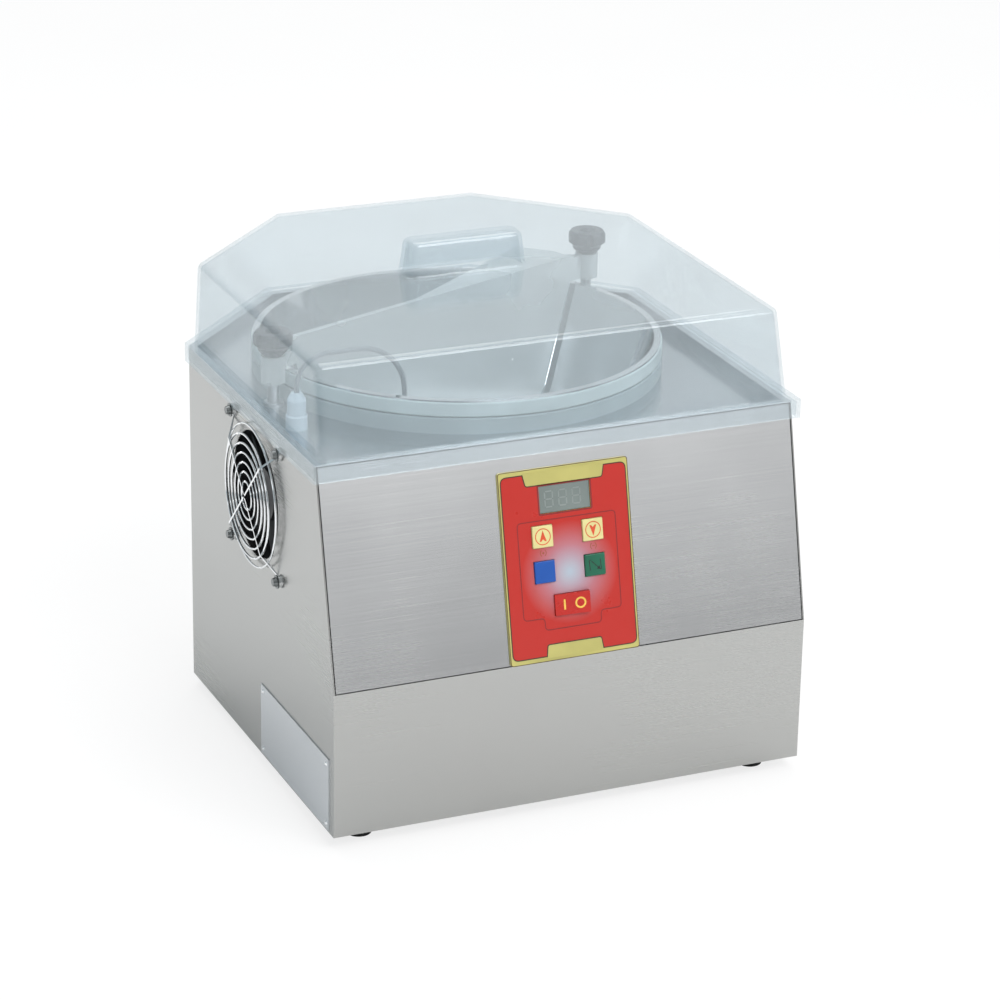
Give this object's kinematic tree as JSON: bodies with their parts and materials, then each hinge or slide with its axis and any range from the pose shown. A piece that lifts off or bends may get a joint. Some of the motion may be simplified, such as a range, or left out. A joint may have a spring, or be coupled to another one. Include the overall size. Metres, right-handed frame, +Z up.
{
  "type": "chocolate tempering machine",
  "caption": "Bench-top chocolate tempering machine: steel case with leaning control panel, clear lift-off hood, turning heated bowl with divider, cooling fan with wire guard.",
  "frame": {"origin": "on the floor, below the middle of the casing's width and depth", "axes": "+X to the operator's right, +Y from the control panel to the back, +Z up"},
  "size_m": [0.4126, 0.4399, 0.4],
  "materials": {
    "brushed_casing": "brushed",
    "brushed_front": "brushed",
    "galvanised": "galvanised",
    "black_rubber": "matt",
    "plate_foil": "satin",
    "bright_metal": "polished",
    "black_plastic": "satin",
    "white_ring": "satin",
    "polished_bowl": "polished",
    "machined_aluminium": "turned",
    "shaft_steel": "ground",
    "cast_grey": "painted",
    "heater_steel": "heat tinted",
    "translucent_divider": "translucent",
    "knob_plastic": "satin",
    "gland_plastic": "satin",
    "probe_steel": "satin",
    "clear_hood": "clear",
    "dark_screws": "black nickel",
    "guard_chrome": "polished",
    "panel_foil": "satin",
    "yellow_key": "satin",
    "blue_key": "satin",
    "green_key": "satin",
    "display_glass": "dark",
    "board_green": "lacquered",
    "red_rocker": "gloss"
  },
  "bodies": {
    "machine": {"casing": "brushed_casing", "deck": "brushed_casing", "front_panel": "brushed_front", "rear_panel": "brushed_casing", "base_pan": "galvanised", "motor_bridge": "galvanised", "heater_shroud": "galvanised", "front_left_foot": "black_rubber", "front_right_foot": "black_rubber", "rear_left_foot": "black_rubber", "rear_right_foot": "black_rubber", "side_plate": "plate_foil", "side_plate_rivets": "bright_metal", "rear_panel_screws": "bright_metal", "mains_inlet": "black_plastic", "fixed_ring": "white_ring", "bearing_housing": "machined_aluminium", "gearbox": "cast_grey", "motor": "cast_grey", "shroud_spacers": "shaft_steel", "heating_ring": "heater_steel", "heater_clips": "shaft_steel", "divider": "translucent_divider", "left_post": "shaft_steel", "right_post": "shaft_steel", "post_nuts": "bright_metal", "probe_gland": "gland_plastic", "probe_arm": "probe_steel", "probe_tip": "probe_steel", "fan_frame": "black_plastic", "fan_screws": "dark_screws", "fan_guard_rings": "guard_chrome", "fan_guard_spokes": "guard_chrome", "control_plate": "panel_foil", "display_window": "display_glass", "display_module": "black_plastic", "control_board": "board_green", "board_standoffs": "bright_metal", "rocker_housing": "black_plastic", "transformer": "cast_grey", "relay_board": "board_green", "relay_board_standoffs": "bright_metal"},
    "hood": {"hood": "clear_hood"},
    "bowl_drive": {"bowl": "polished_bowl", "bowl_ring": "white_ring", "bowl_hub": "machined_aluminium", "turntable": "machined_aluminium", "drive_shaft": "shaft_steel"},
    "fan_rotor": {"fan_rotor": "black_plastic"},
    "left_knob": {"left_knob": "knob_plastic"},
    "right_knob": {"right_knob": "knob_plastic"},
    "up_key": {"up_key": "yellow_key"},
    "down_key": {"down_key": "yellow_key"},
    "program_key": {"program_key": "blue_key"},
    "start_key": {"start_key": "green_key"},
    "mains_rocker": {"mains_rocker": "red_rocker"}
  },
  "joints": [
    {"name": "hood_lift", "type": "slide", "parent": "machine", "child": "hood", "axis": [0, 0, 1], "range_m": [0, 0.12]},
    {"name": "bowl_spin", "type": "hinge", "parent": "machine", "child": "bowl_drive", "pos_m": [0, 0.024, 0.25], "axis": [0, 0, 1], "continuous": true},
    {"name": "fan_spin", "type": "hinge", "parent": "machine", "child": "fan_rotor", "pos_m": [-0.18, -0.0472, 0.2292], "axis": [-1, 0, 0], "continuous": true},
    {"name": "left_knob_turn", "type": "hinge", "parent": "machine", "child": "left_knob", "pos_m": [-0.17234, -0.01636, 0.345], "axis": [0, 0, 1], "continuous": true},
    {"name": "right_knob_turn", "type": "hinge", "parent": "machine", "child": "right_knob", "pos_m": [0.15418, 0.11094, 0.354], "axis": [0, 0, 1], "continuous": true},
    {"name": "up_key_press", "type": "slide", "parent": "machine", "child": "up_key", "axis": [0, 0.974, -0.2267], "range_m": [0, 0.001], "stiffness_N_per_m": 600},
    {"name": "down_key_press", "type": "slide", "parent": "machine", "child": "down_key", "axis": [0, 0.974, -0.2267], "range_m": [0, 0.001], "stiffness_N_per_m": 600},
    {"name": "program_key_press", "type": "slide", "parent": "machine", "child": "program_key", "axis": [0, 0.974, -0.2267], "range_m": [0, 0.001], "stiffness_N_per_m": 600},
    {"name": "start_key_press", "type": "slide", "parent": "machine", "child": "start_key", "axis": [0, 0.974, -0.2267], "range_m": [0, 0.001], "stiffness_N_per_m": 600},
    {"name": "mains_rocker_tilt", "type": "hinge", "parent": "machine", "child": "mains_rocker", "pos_m": [0, -0.20545, 0.17126], "axis": [0, 0.2267, 0.974], "range_deg": [0, 10]}
  ]
}
